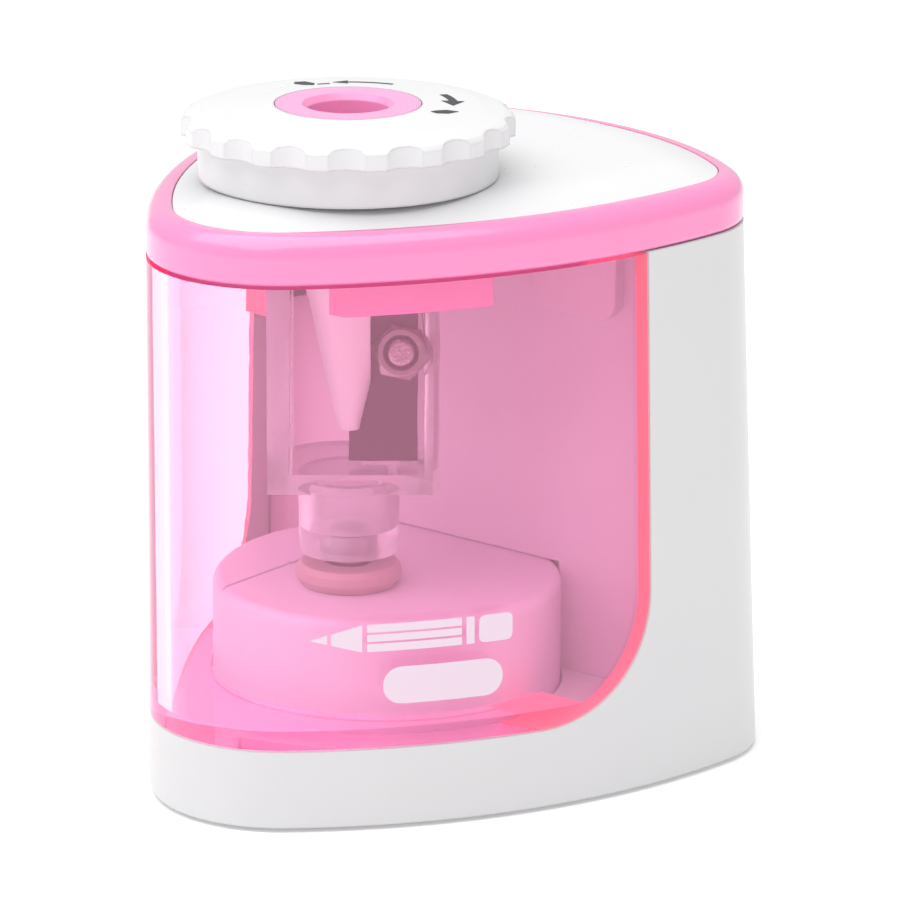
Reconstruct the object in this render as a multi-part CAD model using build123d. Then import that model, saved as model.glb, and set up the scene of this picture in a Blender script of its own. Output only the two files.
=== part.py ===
from build123d import *
import os
from math import acos, cos, pi, radians, sin, sqrt, tan

# Battery pencil sharpener: a rounded-triangle case with the cutter at its narrow nose.
# Millimetres, +Z up. The model is laid out about the pencil axis, front towards -Y, and each
# piece is moved at the end so that the origin is the middle of the footprint.

os.makedirs("parts", exist_ok=True)

# Case plan at the seam under the rim ring
nose_r = 14.14
nose_y = -10.88
corner_r = 11.57
corner_x = 18.48
corner_y = 26.12
side_r = 69.37
back_y = 43.81
# How far the case has grown where it would meet the table
flare_x = 2.06
flare_y = 1.41
flare_back = 3.73

# Case heights and walls
foot_proud = 0.5
seam_z = 59.4
rim_h = 5.2
rim_w = 2.77
crown_h = 1.4
wall = 1.8
case_gap = 0.15
deck_top = 8.9
deck_t = 1.7
cover_t = 1.8

# Drawer and its window
window_y = 14.84
window_z = 9.0
window_r = 13.5
drawer_gap = 0.2
drawer_wall = 2.2
drawer_floor = 1.6
drawer_tab_z = 46.0

# Gearbox hump inside the drawer
hump_r = 19.15
hump_y = 5.8
hump_top = 20.9
hump_wall = 1.4
back_wall_y = 20.0
back_wall_t = 1.4

# Dial and pencil guide
dial_r = 15.96
dial_lift = 0.12
dial_skirt_h = 4.3
flange_r = 17.7
flange_h = 1.7
dial_h = 7.6
scallops = 18
scallop_r = 3.0
scallop_depth = 0.8
dial_wall = 1.5
sleeve_r = 7.1
guide_flange_r = 7.74
guide_flange_t = 1.3
guide_wall = 1.25
pencil_hole_r = 4.4
guide_drop = 1.2
dial_turn = 120.0
lug_r = 0.8
turn_gap = 0.1

# Cutter head, built facing -Y and then turned about the pencil axis
head_turn = 40.0
press_travel = 1.2
tube_bottom = 24.8
tube_top = 33.0
tube_r = 5.4
tube_wall = 1.1
head_r = 9.6
head_left = -8.7
head_front = -3.6
head_floor = 34.0
head_top = 57.0
cone_tip_z = 38.2
cone_tip_r = 1.1
cone_top_r = 4.9
cone_angle = 11.0
blade_l = 21.0
blade_w = 7.3
blade_t = 0.6
blade_bottom = 34.6
screw_x = 5.5
screw_z = 46.2
screw_r = 1.5
nut_flats = 5.5
nut_t = 2.4
nut_turn = -12.0
nut_gap = 0.2
spindle_r = 2.0
shaft_gap = 0.05

# Gear train, from the cutter back to the motor
module = 0.5
output_teeth = 38
front_pinion_teeth = 12
front_wheel_teeth = 30
rear_pinion_teeth = 10
rear_wheel_teeth = 27
motor_teeth = 10
backlash = 0.14
pin_r = 0.9

# Motor and cells
motor_r = 10.05
motor_half_flat = 7.55
motor_l = 23.7
motor_shaft_r = 1.0
cell_r = 7.1
cell_l = 49.3
cell_x = 17.4
cell_y = 29.2
cell_nub = 1.2
door_half_w = 23.5
door_bottom = 5.5
door_top = 56.0
door_wall = 1.6

# Fasteners and feet
base_screw_r = 1.1
base_head_r = 2.2
foot_r = 3.0

base_z = foot_proud
cover_top = base_z + cover_t
rim_top = seam_z + rim_h
front_idler_y = module * (output_teeth + front_pinion_teeth) / 2
rear_idler_y = front_idler_y + module * (front_wheel_teeth + rear_pinion_teeth) / 2
motor_y = rear_idler_y + module * (rear_wheel_teeth + motor_teeth) / 2
far = 200.0


def flare(z):
    """Share of the flare left at height z: none at the seam, all of it at the table."""
    return (seam_z - z) / seam_z


def unit(v):
    return v * (1 / v.length)


def arc(centre, radius, start, end):
    """Arc about centre between two directions less than half a turn apart."""
    a, b = unit(start), unit(end)
    return ThreePointArc(centre + a * radius, centre + unit(a + b) * radius, centre + b * radius)


def outline(z, inset=0.0):
    """Face of the case plan at height z, pulled in all round by inset: six tangent arcs."""
    share = max(flare(z), 0.0)
    nose = Vector(0, nose_y)
    corner = Vector(corner_x + flare_x * share, corner_y + flare_y * share)
    span = corner - nose
    reach_n = side_r - nose_r
    reach_c = side_r - corner_r
    along = (reach_n**2 - reach_c**2 + span.length**2) / (2 * span.length)
    aside = sqrt(reach_n**2 - along**2)
    side = nose + unit(span) * along + unit(Vector(-span.Y, span.X)) * aside
    drop = corner.Y - (back_y + flare_back * share)
    back_r = (corner.X**2 + drop**2 - corner_r**2) / (-2 * drop - 2 * corner_r)
    back = Vector(0, back_y + flare_back * share - back_r)

    def mirrored(v):
        return Vector(-v.X, v.Y)

    at_nose = nose - side
    at_corner = corner - side
    at_back = corner - back
    edges = [
        arc(nose, nose_r - inset, mirrored(at_nose), at_nose),
        arc(side, side_r - inset, at_nose, at_corner),
        arc(corner, corner_r - inset, at_corner, at_back),
        arc(back, back_r - inset, at_back, mirrored(at_back)),
        arc(mirrored(corner), corner_r - inset, mirrored(at_back), mirrored(at_corner)),
        arc(mirrored(side), side_r - inset, mirrored(at_corner), mirrored(at_nose)),
    ]
    return Pos(0, 0, z) * make_face(edges)


def case_body(inset, z0, z1):
    """Solid of the flared case between two heights, pulled in by inset."""
    return loft([outline(z0, inset), outline(z1, inset)], ruled=True)


def slab(inset, z0, z1):
    """Straight-sided prism of the plan at z1."""
    return Pos(0, 0, z0 - z1) * extrude(outline(z1, inset), amount=z1 - z0)


def block(x0, x1, y0, y1, z0, z1):
    return Pos((x0 + x1) / 2, (y0 + y1) / 2, (z0 + z1) / 2) * Box(x1 - x0, y1 - y0, z1 - z0)


def rod(radius, z0, z1, x=0.0, y=0.0):
    return Pos(x, y, (z0 + z1) / 2) * Cylinder(radius, z1 - z0)


def cone(r0, r1, z0, z1):
    return Pos(0, 0, (z0 + z1) / 2) * Cone(r0, r1, z1 - z0)


def turned(points):
    """Solid of revolution about Z from (radius, height) points."""
    profile = make_face(Polyline(*[(r, 0, z) for r, z in points], close=True))
    return revolve(profile, Axis.Z)


def window(gap):
    """Everything in front of the drawer's rear edge and above its lower edge, seen from the side,
    with the lower rear corner rounded."""
    y, z, r = window_y - gap, window_z + gap, window_r - gap
    mid = (0, y - r + r * cos(pi / 4), z + r - r * sin(pi / 4))
    edges = [
        Line((0, -far, z), (0, y - r, z)),
        ThreePointArc((0, y - r, z), mid, (0, y, z + r)),
        Line((0, y, z + r), (0, y, far)),
        Line((0, y, far), (0, -far, far)),
        Line((0, -far, far), (0, -far, z)),
    ]
    return extrude(make_face(edges), amount=far, dir=(1, 0, 0), both=True)


def involute(angle):
    return tan(angle) - angle


def gear(teeth, z0, z1, tooth_at, bore_r):
    """Spur gear with one tooth centred on the direction tooth_at, in degrees."""
    pressure = radians(20)
    pitch_r = module * teeth / 2
    base_r = pitch_r * cos(pressure)
    tip_r = pitch_r + 0.8 * module
    root_r = pitch_r - 1.15 * module
    half = (pi * module / 2 - backlash) / 2 / pitch_r + involute(pressure)
    low_r = max(base_r, root_r)
    foot_half = (half - involute(acos(base_r / low_r))) * 0.9

    def at(radius, angle):
        return (radius * cos(angle), radius * sin(angle), 0)

    def flank(side, middle):
        radii = [low_r, (low_r + tip_r) / 2, tip_r]
        return [at(r, middle + side * (half - involute(acos(base_r / r)))) for r in radii]

    edges = []
    for tooth in range(teeth):
        middle = radians(tooth_at) + tooth * 2 * pi / teeth
        following = middle + 2 * pi / teeth
        right, left = flank(-1, middle), flank(1, middle)
        edges.append(Line(at(root_r, middle - foot_half), right[0]))
        edges.append(ThreePointArc(*right))
        edges.append(ThreePointArc(right[2], at(tip_r, middle), left[2]))
        edges.append(ThreePointArc(left[2], left[1], left[0]))
        edges.append(Line(left[0], at(root_r, middle + foot_half)))
        start, end = middle + foot_half, following - foot_half
        edges.append(ThreePointArc(at(root_r, start), at(root_r, (start + end) / 2), at(root_r, end)))
    blank = Pos(0, 0, z0) * extrude(make_face(edges), amount=z1 - z0)
    return blank - rod(bore_r, z0 - 1, z1 + 1)


middle_y = ((back_y + flare_back * flare(base_z)) + (nose_y - nose_r)) / 2


def save(name, shape):
    export_step(Pos(0, -middle_y, 0) * shape, f"parts/{name}.step")


# Housing: white outer shell with the drawer's window, the deck that the drawer slides on,
# screw bosses and the battery doorway.
base_screw_places = [(0, -18.6), (-23.2, 12.0), (23.2, 12.0), (0, 43.4)]
boss_r = base_screw_r + 1.5


def make_housing():
    shell = case_body(0, base_z, seam_z) - case_body(wall, base_z - 0.4, seam_z + 1)
    shell -= window(0)
    deck = case_body(wall / 2, deck_top - deck_t, deck_top) & block(-far, far, -far, window_y, 0, far)
    rear_deck = case_body(wall / 2, deck_top - deck_t, deck_top)
    rear_deck &= block(-far, far, window_y - 1, back_wall_y + back_wall_t, 0, far)
    shell += deck + rear_deck
    hump_room = rod(hump_r + drawer_gap, cover_top, deck_top + 1, y=hump_y)
    shell -= hump_room
    for x, y in base_screw_places:
        top = deck_top - deck_t / 2 if y < back_wall_y else door_bottom - 0.3
        boss = rod(boss_r, cover_top, top, x, y) & case_body(wall / 2, base_z, seam_z)
        shell += boss
        shell -= rod(base_screw_r + shaft_gap, base_z - 1, top - 0.8, x, y)
    shell -= block(-door_half_w, door_half_w, cell_y + 1, far, door_bottom, door_top)
    return shell


# Bottom cover: closes the base, carries the gear pins, the spring post, feet and screws.
foot_places = [(0, -9.5), (-20.5, 31.0), (20.5, 31.0)]
foot_sink = 0.4
head_sink = 1.1
post_r = 1.6


def make_bottom_cover():
    plate = slab(wall + case_gap, base_z, cover_top)
    plate += rod(post_r, cover_top - 0.5, 3.9)
    plate += rod(pin_r + 1.3, cover_top - 0.5, front_wheel_z - 0.3, y=front_idler_y)
    plate += rod(pin_r + 1.3, cover_top - 0.5, rear_wheel_z - 0.3, y=rear_idler_y)
    for y in (front_idler_y, rear_idler_y):
        plate -= rod(pin_r, pin_bottom, far, y=y)
    for x, y in foot_places:
        plate -= rod(foot_r + shaft_gap, 0, base_z + foot_sink, x, y)
    for x, y in base_screw_places:
        plate -= rod(base_screw_r + shaft_gap, 0, far, x, y)
        plate -= rod(base_head_r + shaft_gap, 0, base_z + head_sink, x, y)
    return plate


def make_base_screws():
    screws = []
    for x, y in base_screw_places:
        tip = deck_top - deck_t / 2 - 1.2 if y < back_wall_y else door_bottom - 1.5
        screw = rod(base_head_r, base_z + 0.1, base_z + head_sink, x, y)
        screw += rod(base_screw_r, base_z + 0.5, tip, x, y)
        screw -= block(x - 1.5, x + 1.5, y - 0.3, y + 0.3, 0, base_z + 0.6)
        screw -= block(x - 0.3, x + 0.3, y - 1.5, y + 1.5, 0, base_z + 0.6)
        screws.append(screw)
    return Compound(screws)


def make_feet():
    return Compound([rod(foot_r, 0, base_z + foot_sink, x, y) for x, y in foot_places])


# Gearbox: levels of the three gear meshes above the bottom cover.
pin_bottom = base_z + 0.8
rear_wheel_z = 4.2
rear_wheel_h = 3.2
front_wheel_z = 8.6
front_wheel_h = 2.8
output_z = 13.2
output_h = 3.2
front_pinion_top = output_z + output_h + 1.2
plate_z = 12.4
plate_t = 1.4
cover_roof = hump_top - hump_wall - 0.1
motor_posts = [(side * 6.4, y) for side in (-1, 1) for y in (30.5, 38.0)]
motor_post_r = 1.3


def make_gearbox_cover():
    """Drum-shaped hump over the gears, open at the back towards the motor."""
    drum = fillet(rod(hump_r, cover_top, hump_top, y=hump_y).edges().group_by(Axis.Z)[-1], 1.2)
    drum -= rod(hump_r - hump_wall, cover_top - 1, cover_roof, y=hump_y)
    drum += rod(pin_r + 1.1, cover_roof - 1.2, cover_roof + 0.5, y=front_idler_y)
    drum -= rod(pin_r, 0, cover_roof, y=front_idler_y)
    drum -= rod(seal_stem_r + stem_gap, 0, far)
    drum &= block(-far, far, -far, back_wall_y + back_wall_t - 0.1, 0, far)
    return drum - block(-9.3, -8.9, -14, 4, hump_top - 0.35, far)


def make_gear_plate():
    """Shelf behind the hump that steadies the rear pin and carries the motor."""
    shelf = block(-7.4, 7.4, rear_idler_y - 2.6, 40.5, plate_z, plate_z + plate_t)
    for x, y in motor_posts:
        shelf += rod(motor_post_r, cover_top, plate_z + 0.5, x, y)
    shelf -= rod(motor_boss_r + shaft_gap, 0, far, y=motor_y)
    return shelf - rod(pin_r, 0, plate_z + 1, y=rear_idler_y)


def make_gear_pins():
    front = rod(pin_r, pin_bottom, cover_roof, y=front_idler_y)
    return Compound([front, rod(pin_r, pin_bottom, plate_z + 1, y=rear_idler_y)])


def make_front_idler():
    bore = pin_r + shaft_gap
    wheel = gear(front_wheel_teeth, front_wheel_z, front_wheel_z + front_wheel_h, 90, bore)
    overlap = 0.2
    gap_at = 270 + 180 / front_pinion_teeth
    top = front_wheel_z + front_wheel_h
    wheel += gear(front_pinion_teeth, top - overlap, front_pinion_top, gap_at, bore)
    return Pos(0, front_idler_y, 0) * wheel


def make_rear_idler():
    bore = pin_r + shaft_gap
    top = rear_wheel_z + rear_wheel_h
    wheel = gear(rear_wheel_teeth, rear_wheel_z, top, 90, bore)
    gap_at = 270 + 180 / rear_pinion_teeth
    wheel += gear(rear_pinion_teeth, top - 0.2, plate_z - 0.4, gap_at, bore)
    return Pos(0, rear_idler_y, 0) * wheel


def make_output_gear():
    wheel = gear(output_teeth, output_z, output_z + output_h, 90, spindle_r)
    hub = rod(spindle_r + 1.6, output_z - 0.4, output_z + output_h + 1.6)
    return wheel + (hub - rod(spindle_r, 0, far))


# Motor, stood on the shelf with its shaft downwards.
motor_z = plate_z + plate_t
motor_boss_r = 3.0
can_wall = 0.6
end_cap_t = 2.0


def motor_shape(inset, z0, z1):
    flats = block(inset - motor_half_flat, motor_half_flat - inset, 0, far, z0, z1)
    return rod(motor_r - inset, z0, z1, y=motor_y) & flats


def make_motor_can():
    can = motor_shape(0, motor_z, motor_z + motor_l) - motor_shape(can_wall, motor_z + can_wall, far)
    can += rod(motor_boss_r, motor_z - 1.0, motor_z + can_wall, y=motor_y)
    return can - rod(motor_shaft_r + shaft_gap, 0, far, y=motor_y)


def make_motor_end_cap():
    top = motor_z + motor_l
    cap = motor_shape(0, top, top + end_cap_t)
    for side in (-1, 1):
        cap += block(side * 5 - 1.2, side * 5 + 1.2, motor_y - 0.25, motor_y + 0.25, top + 1, top + 5)
    return cap - rod(motor_shaft_r + shaft_gap, 0, top + 1.2, y=motor_y)


def make_motor_shaft():
    return rod(motor_shaft_r, cover_top + 0.8, motor_z + motor_l + 1, y=motor_y)


def make_motor_armature():
    core = rod(6.0, motor_z + 5, motor_z + 17, y=motor_y)
    for third in range(3):
        angle = radians(90 + 120 * third)
        core -= rod(1.3, 0, far, 5.6 * cos(angle), motor_y + 5.6 * sin(angle))
    core += rod(2.6, motor_z + 16.5, motor_z + 21, y=motor_y)
    return core - rod(motor_shaft_r, 0, far, y=motor_y)


def make_motor_pinion():
    top = rear_wheel_z + rear_wheel_h
    pinion = gear(motor_teeth, rear_wheel_z - 0.2, top + 0.4, 270 + 180 / motor_teeth, motor_shaft_r)
    return Pos(0, motor_y, 0) * pinion


# Spindle, seal and the sprung seat that the pencil pushes down.
seal_stem_r = 3.45
stem_gap = 0.03
cup_z = 5.9
cup_t = 1.6
cup_r = 3.2
spindle_bottom = cup_z + 0.8
spindle_top = tube_bottom + 2.0


def make_spindle():
    return rod(spindle_r, spindle_bottom, spindle_top)


def make_spindle_seal():
    """Soft seal that stands on the hump round the spindle."""
    top = tube_bottom - press_travel - 0.2
    lip = turned([(2.6, hump_top), (5.0, hump_top), (5.7, hump_top + 1.0), (5.6, top - 0.6),
                  (5.1, top), (2.6, top)])
    stem = rod(seal_stem_r, cover_roof, hump_top + 1) + lip
    return stem - rod(spindle_r + shaft_gap, 0, far)


def make_thrust_cup():
    cup = rod(cup_r, cup_z, cup_z + cup_t) - rod(spindle_r + shaft_gap, spindle_bottom, far)
    return cup + block(cup_r - 0.6, 7.6, -1.2, 1.2, cup_z, cup_z + 1.0)


def make_return_spring():
    wire_r = 0.3
    coil = Helix(pitch=0.9, height=cup_z - cover_top - 2 * wire_r, radius=2.5)
    path = Pos(0, 0, cover_top + wire_r) * coil
    section = Plane(origin=path @ 0, z_dir=path % 0) * Circle(wire_r)
    return sweep(section, path=path)


def make_start_switch():
    """Leaf switch beside the spring: the arm of the thrust cup closes it."""
    body = block(5.0, 9.2, -2.0, 2.0, cover_top, cover_top + 1.5)
    body += block(8.2, 9.0, -1.6, 1.6, cover_top + 1, cup_z - press_travel - 0.05)
    leaf_top = cup_z - press_travel - 0.05
    return body + block(5.2, 8.6, -1.2, 1.2, leaf_top - 0.3, leaf_top)


# Cutter head: clear carrier, cone seat, blade, screw and nut.
blade_lean = Rot(-cone_angle, 0, 0)
nut_place = Pos(screw_x, 0, 0) * Rot(90, 0, 0)
nut_corner_r = nut_flats / sqrt(3)


def bore_r_at(z):
    return 0.5 + (z - cone_tip_z) * tan(radians(cone_angle))


def on_blade(shape):
    """Moves a shape from the blade's own frame: origin on the bore's rear line at the screw's
    height, Y through the blade's thickness and Z up along the cutting edge."""
    return Pos(0, bore_r_at(screw_z), screw_z) * blade_lean * shape


def blade_down():
    return (blade_bottom - screw_z) / cos(radians(cone_angle))


def make_carrier():
    tube = rod(tube_r, tube_bottom, tube_top) - rod(tube_r - tube_wall, tube_bottom + 2.6, far)
    tube -= rod(spindle_r, 0, spindle_top)
    drum = rod(head_r, tube_top - 1.2, head_top)
    well = block(head_left + 2.7, 8.0, -far, far, head_floor, head_top - 2.0)
    drum -= well
    drum -= rod(cone_top_r + 1 + stem_gap, head_floor, far)
    backing = on_blade(block(1.4, 9.0, blade_t, blade_t + 2.0, blade_down() - 2, blade_down() + 19))
    drum += backing & rod(head_r - 0.3, head_floor - 0.5, head_top - 1)
    drum &= block(head_left, far, head_front, far, 0, far)
    drum -= on_blade(nut_place * rod(nut_corner_r + nut_gap, -nut_gap, far))
    head = tube + drum
    slot = on_blade(block(-0.6, blade_w + 0.05, -3, blade_t, blade_down() - 0.05, 40))
    head -= slot & rod(far, head_floor + 0.3, head_top - 1.2)
    return head - on_blade(nut_place * Cylinder(screw_r + shaft_gap, 20))


def make_cone_seat():
    body_top = head_top - 2.0
    body = cone(cone_tip_r, cone_top_r, cone_tip_z, body_top)
    body += rod(cone_top_r + 1, body_top, head_top)
    body -= cone(0.5, bore_r_at(head_top), cone_tip_z, head_top)
    body -= block(2.25, far, -far, far, 41.5, body_top)
    body -= on_blade(block(-0.7, far, -0.05, far, blade_down() - 5, blade_down() + blade_l + 0.1))
    return body


def make_blade():
    edge = 0.9
    plate = block(0, blade_w, 0, blade_t, 0, blade_l)
    bevel = Plane.XY * make_face(Polyline((0, 0), (0, blade_t), (edge, blade_t), close=True))
    plate -= extrude(bevel, amount=blade_l)
    plate = Pos(0, 0, blade_down()) * plate
    return on_blade(plate - nut_place * Cylinder(screw_r + shaft_gap, 9))


def make_blade_nut():
    """Hex nut with chamfered corners and a countersunk thread."""
    nut = extrude(Rot(0, 0, nut_turn) * RegularPolygon(nut_flats / 2, 6, major_radius=False), amount=nut_t)
    chamfer = [(nut_corner_r, 0), (nut_corner_r, nut_t - 0.4), (nut_corner_r - 0.7, nut_t)]
    nut &= turned([(0, 0), *chamfer, (0, nut_t)])
    nut -= cone(screw_r, screw_r + 0.45, nut_t - 0.45, nut_t)
    nut -= rod(screw_r, -1, far)
    return on_blade(nut_place * Pos(0, 0, 0.02) * nut)


def make_blade_screw():
    shank = rod(screw_r, -(blade_t + 2.0), nut_t + 0.5)
    shank = fillet(shank.edges().group_by(Axis.Z)[-1], 0.4)
    head = rod(2.2, -(blade_t + 2.0 + 1.2), -(blade_t + 2.0))
    slot = block(-2.5, 2.5, -0.3, 0.3, -far, -(blade_t + 2.7))
    return on_blade(nut_place * (shank + head - slot))


def faced(shape):
    """Turns a cutter piece from its own facing to its rest angle."""
    return Rot(0, 0, head_turn) * shape


# Chamber back wall, with the latch pads that the rim frame hooks on.
plunger_x = -24.3
plunger_r = 1.2
pad_x = 15.5
pad_half_w = 5.5
pad_bottom = 49.5
pad_t = 1.4
pad_corner_r = 2.5


def make_back_wall():
    front, rear = back_wall_y, back_wall_y + back_wall_t
    panel = block(-far, far, front, rear, deck_top, seam_z - 0.3) & case_body(wall + case_gap, 5, seam_z)
    for side in (-1, 1):
        pad = block(-pad_half_w, pad_half_w, front - pad_t, front + 0.3, pad_bottom, seam_z - 0.3)
        pad = fillet(pad.edges().filter_by(Axis.Y).group_by(Axis.Z)[0], pad_corner_r)
        panel += Pos(side * pad_x, 0, 0) * pad
    panel -= rod(hump_r + 0.1, 0, hump_top + 0.1, y=hump_y)
    return panel - Pos(plunger_x, front, drawer_tab_z) * Rot(90, 0, 0) * Cylinder(plunger_r + turn_gap, 9)


# Drawer: clear shell open at the back, its floor cut out round the hump.
def make_drawer():
    floor_bottom = window_z + drawer_gap
    top = seam_z - drawer_gap
    shell = case_body(0, floor_bottom, top)
    shell -= case_body(drawer_wall, floor_bottom + drawer_floor, top + 1)
    shell &= window(drawer_gap)
    clear = hump_r + 0.35
    shell -= rod(clear, 0, far, y=hump_y) & block(-far, far, -far, far, 0, hump_top)
    shell -= block(-clear, clear, hump_y, far, 0, hump_top)
    tab = block(-far, plunger_x + 1.6, window_y - 2.2, window_y - drawer_gap, drawer_tab_z - 2,
                drawer_tab_z + 2)
    return shell + (tab & case_body(drawer_wall / 2, floor_bottom, top))


# Interlock: a plunger that the drawer's tab holds in, and its switch.
def make_plunger():
    front = window_y - drawer_gap + 0.05
    stem = Pos(plunger_x, (front + 23.0) / 2, drawer_tab_z) * Rot(90, 0, 0)
    collar = Pos(plunger_x, 22.8, drawer_tab_z) * Rot(90, 0, 0)
    return stem * Cylinder(plunger_r, 23.0 - front) + collar * Cylinder(1.7, 0.4)


def make_interlock_switch():
    body = block(plunger_x - 3.0, plunger_x + 1.0, 23.1, 25.0, drawer_tab_z - 4, drawer_tab_z + 4)
    return body & case_body(wall + 0.2, 5, seam_z)


# Rim frame: the pink ring, the ceiling over the drawer, locating tongues and the guide's collar.
collar_bottom = 57.4
collar_r = 8.4
ceiling_t = 1.8
tongue_front = -14.9
tongue_rear = -1.5
tongue_drop = 3.8
tongue_t = 1.55
tongue_gap = 0.35
lip_drop = 1.8
key_r = 6.75
key_half_w = 1.0


def make_rim_frame():
    ring = extrude(outline(seam_z), amount=rim_h)
    ring = fillet(ring.edges().group_by(Axis.Z)[-1], 2.3)
    ring = fillet(ring.edges().group_by(Axis.Z)[0], 0.7)
    ring -= slab(rim_w, seam_z + ceiling_t, rim_top + 1)
    tongue_zone = slab(drawer_wall + tongue_gap, seam_z - tongue_drop, seam_z + 0.5)
    tongue_zone -= slab(drawer_wall + tongue_gap + tongue_t, seam_z - tongue_drop - 1, seam_z + 1)
    ring += tongue_zone & block(-far, far, tongue_front, tongue_rear, 0, far)
    lip = slab(wall + case_gap, seam_z - lip_drop, seam_z + 0.5)
    lip -= slab(wall + 1.4, seam_z - lip_drop - 1, seam_z + 1)
    ring += lip & block(-far, far, back_wall_y + back_wall_t + 0.3, far, 0, far)
    ring += rod(collar_r, collar_bottom, seam_z + 0.5)
    ring -= rod(pencil_hole_r + guide_wall + turn_gap, 0, far)
    ring -= block(-key_r - turn_gap, key_r + turn_gap, -key_half_w - 0.1, key_half_w + 0.1, 0, far)
    for x, y in top_screw_places:
        ring -= rod(base_screw_r + shaft_gap, 0, far, x, y)
    return ring


# Top plate: crowned white panel inside the ring, hung on the ceiling.
top_screw_places = [(0, -19.3), (-17.0, 24.5), (17.0, 24.5)]
plate_top = rim_top + crown_h
skin_t = 2.0
slope_w = 4.6
crown_blend_r = 15.0


def make_top_plate():
    ceiling_top = seam_z + ceiling_t
    foot = rim_w + 0.08
    plate = loft([outline(rim_top - 0.1, foot), outline(plate_top, foot + slope_w)], ruled=True)
    plate = fillet(plate.edges().group_by(Axis.Z)[-1], crown_blend_r)
    plate += slab(foot, ceiling_top, rim_top - 0.1)
    plate -= slab(rim_w + 1.8, ceiling_top - 1, plate_top - skin_t - 0.9)
    plate += rod(sleeve_r + 2.1, ceiling_top + 1.8, plate_top - 1)
    for x, y in top_screw_places:
        plate += rod(base_screw_r + 1.2, ceiling_top, plate_top - skin_t, x, y)
        plate -= rod(base_screw_r + shaft_gap, 0, plate_top - skin_t, x, y)
    return plate - rod(sleeve_r + turn_gap, 0, far)


def make_top_screws():
    screws = []
    for x, y in top_screw_places:
        screw = rod(1.9, seam_z - 1.0, seam_z, x, y)
        screw += rod(base_screw_r, seam_z - 0.2, plate_top - skin_t - 0.6, x, y)
        screw -= block(x - 1.3, x + 1.3, y - 0.25, y + 0.25, 0, seam_z - 0.6)
        screws.append(screw)
    return Compound(screws)


# Dial: scalloped knob whose sleeve turns in the top plate and lowers the guide by two lugs.
dial_bottom = plate_top + dial_lift
dial_top = dial_bottom + dial_h
sleeve_bottom = seam_z + ceiling_t + 0.3
clip_z = sleeve_bottom + 0.4
clip_h = 0.8
lug_z = seam_z + 8.2
slot_steps = 24


def make_dial():
    shoulder_z = dial_bottom + dial_skirt_h
    rim_z = shoulder_z + flange_h
    recess_z = dial_top - guide_flange_t - guide_drop - 0.1
    inside_r = dial_r - dial_wall
    roof_z = shoulder_z - 0.6
    recess_r = guide_flange_r + turn_gap
    sleeve_in = pencil_hole_r + guide_wall + turn_gap
    groove_r = sleeve_r - 0.4
    section = [
        (inside_r, dial_bottom), (dial_r, dial_bottom), (dial_r, shoulder_z),
        (flange_r, shoulder_z), (flange_r, rim_z), (flange_r - 0.35, rim_z + 0.45),
        (flange_r - 1.1, rim_z + 0.75), (flange_r - 3.5, dial_top - 0.45), (recess_r, dial_top),
        (recess_r, recess_z), (sleeve_in, recess_z), (sleeve_in, sleeve_bottom),
        (sleeve_r, sleeve_bottom), (sleeve_r, clip_z), (groove_r, clip_z),
        (groove_r, clip_z + clip_h), (sleeve_r, clip_z + clip_h), (sleeve_r, roof_z),
        (inside_r, roof_z),
    ]
    knob = turned(section)
    for step in range(scallops):
        angle = radians(360 / scallops * (step + 0.5))
        reach = flange_r - scallop_depth + scallop_r
        knob -= rod(scallop_r, shoulder_z - 0.01, far, reach * cos(angle), reach * sin(angle))
    for start in (0, 180):
        for step in range(slot_steps + 1):
            share = step / slot_steps
            place = Rot(0, 0, start - dial_turn * share) * Pos(6.4, 0, lug_z - guide_drop * share)
            knob -= place * Rot(0, 90, 0) * Cylinder(lug_r + 0.15, 2.6)
    return knob


def make_dial_clip():
    ring = rod(sleeve_r + 1.6, clip_z + 0.05, clip_z + clip_h - 0.05)
    ring -= rod(sleeve_r - 0.35, 0, far)
    return ring - block(-2.0, 2.0, 0, far, 0, far)


def make_guide():
    """Pink pencil guide: dished flange, tube, two lugs and two keys that stop it turning."""
    tube_out = pencil_hole_r + guide_wall
    bottom = seam_z + 0.2
    guide = rod(guide_flange_r, dial_top - guide_flange_t, dial_top) + rod(tube_out, bottom, dial_top - 0.5)
    guide -= rod(pencil_hole_r, 0, far)
    guide -= cone(pencil_hole_r, pencil_hole_r + 0.5, dial_top - 0.7, dial_top)
    keys = block(-key_r, key_r, -key_half_w, key_half_w, bottom, sleeve_bottom - 0.2)
    lugs = Pos(0, 0, lug_z) * Rot(0, 90, 0) * Cylinder(lug_r, 2 * (sleeve_r - 0.3))
    return guide + (keys + lugs - rod(tube_out - 0.5, 0, far))


# Cells, their holder, contacts and door.
holder_bottom = 3.2
end_plate_t = 1.2
holder_top = 58.2
contact_t = 0.3
contact_low = holder_bottom + end_plate_t
contact_high = holder_top - end_plate_t


def make_cell(side, nub_up):
    x = side * cell_x
    if nub_up:
        top = contact_high - contact_t
        body = rod(cell_r, top - cell_nub - cell_l, top - cell_nub, x, cell_y)
        return body + rod(2.6, top - cell_nub - 0.5, top, x, cell_y)
    bottom = contact_low + contact_t
    body = rod(cell_r, bottom + cell_nub, bottom + cell_nub + cell_l, x, cell_y)
    return body + rod(2.6, bottom, bottom + cell_nub + 0.5, x, cell_y)


def make_cell_holder():
    room = case_body(wall + 1.6, holder_bottom, seam_z)
    front = back_wall_y + back_wall_t + 0.1
    holder = block(-far, far, front, 38.0, contact_high, holder_top)
    for side in (-1, 1):
        x0, x1 = sorted((side * 8.6, side * 9.6))
        holder += block(x0, x1, front, 38.0, holder_bottom, contact_high + 0.5)
        x0, x1 = sorted((side * 8.6, side * 26.0))
        holder += block(x0, x1, front, 38.0, holder_bottom, contact_low)
    return holder & room


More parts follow.
